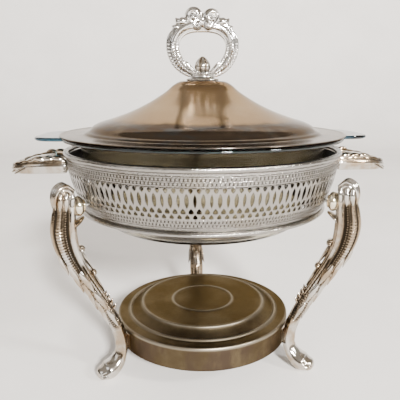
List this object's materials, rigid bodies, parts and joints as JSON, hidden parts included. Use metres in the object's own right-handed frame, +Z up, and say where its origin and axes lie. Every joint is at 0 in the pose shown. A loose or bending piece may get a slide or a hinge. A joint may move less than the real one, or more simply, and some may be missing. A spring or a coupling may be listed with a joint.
{
  "type": "round chafing dish",
  "caption": "Round buffet chafing dish: pierced gallery stand on cabriole legs with a burner tray, lift-out glass casserole, and a domed lift-off lid with a ring handle.",
  "frame": {"origin": "middle of the whole footprint, on the surface that the three feet stand on", "axes": "+Z up, +X from the left side handle to the right one, -Y to the front, between the two front legs; the dish's own upright axis is 8.5 mm forward of the origin"},
  "size_m": [0.3096, 0.2438, 0.2892],
  "materials": {
    "silver_plate": "bright silver plate on sheet metal, lightly tarnished in the piercing",
    "cast_silver": "silver-plated casting with dark tarnish in the hollows",
    "tarnished_lid": "polished silver plate under brown tarnish",
    "tarnished_tray": "silver plate under olive-brown tarnish, satin",
    "steel": "plain steel fasteners",
    "clear_glass": "clear pressed ovenproof glass, blue-green at its edges"
  },
  "bodies": {
    "stand": {"gallery_band": "silver_plate", "gallery_top_bead": "silver_plate", "gallery_bottom_rim": "silver_plate", "leg_left": "cast_silver", "leg_right": "cast_silver", "leg_back": "cast_silver", "leg_boss_left": "cast_silver", "leg_boss_right": "cast_silver", "leg_boss_back": "cast_silver", "leg_screw_left": "steel", "leg_screw_right": "steel", "leg_screw_back": "steel", "side_handle_left": "cast_silver", "side_handle_right": "cast_silver", "burner_tray": "tarnished_tray", "tray_lug_left": "cast_silver", "tray_lug_right": "cast_silver", "tray_lug_back": "cast_silver", "tray_screw_left": "steel", "tray_screw_right": "steel", "tray_screw_back": "steel"},
    "dish": {"glass_dish": "clear_glass"},
    "lid": {"lid_shell": "tarnished_lid", "lid_collar": "cast_silver", "lid_ring": "cast_silver", "lid_bud": "cast_silver", "lid_stud": "steel", "lid_washer": "steel", "lid_nut": "steel"}
  },
  "joints": [
    {"name": "dish_lift", "type": "slide", "parent": "stand", "child": "dish", "axis": [0, 0, 1], "range_m": [0, 0.1]},
    {"name": "lid_lift", "type": "slide", "parent": "dish", "child": "lid", "axis": [0, 0, 1], "range_m": [0, 0.12]}
  ]
}
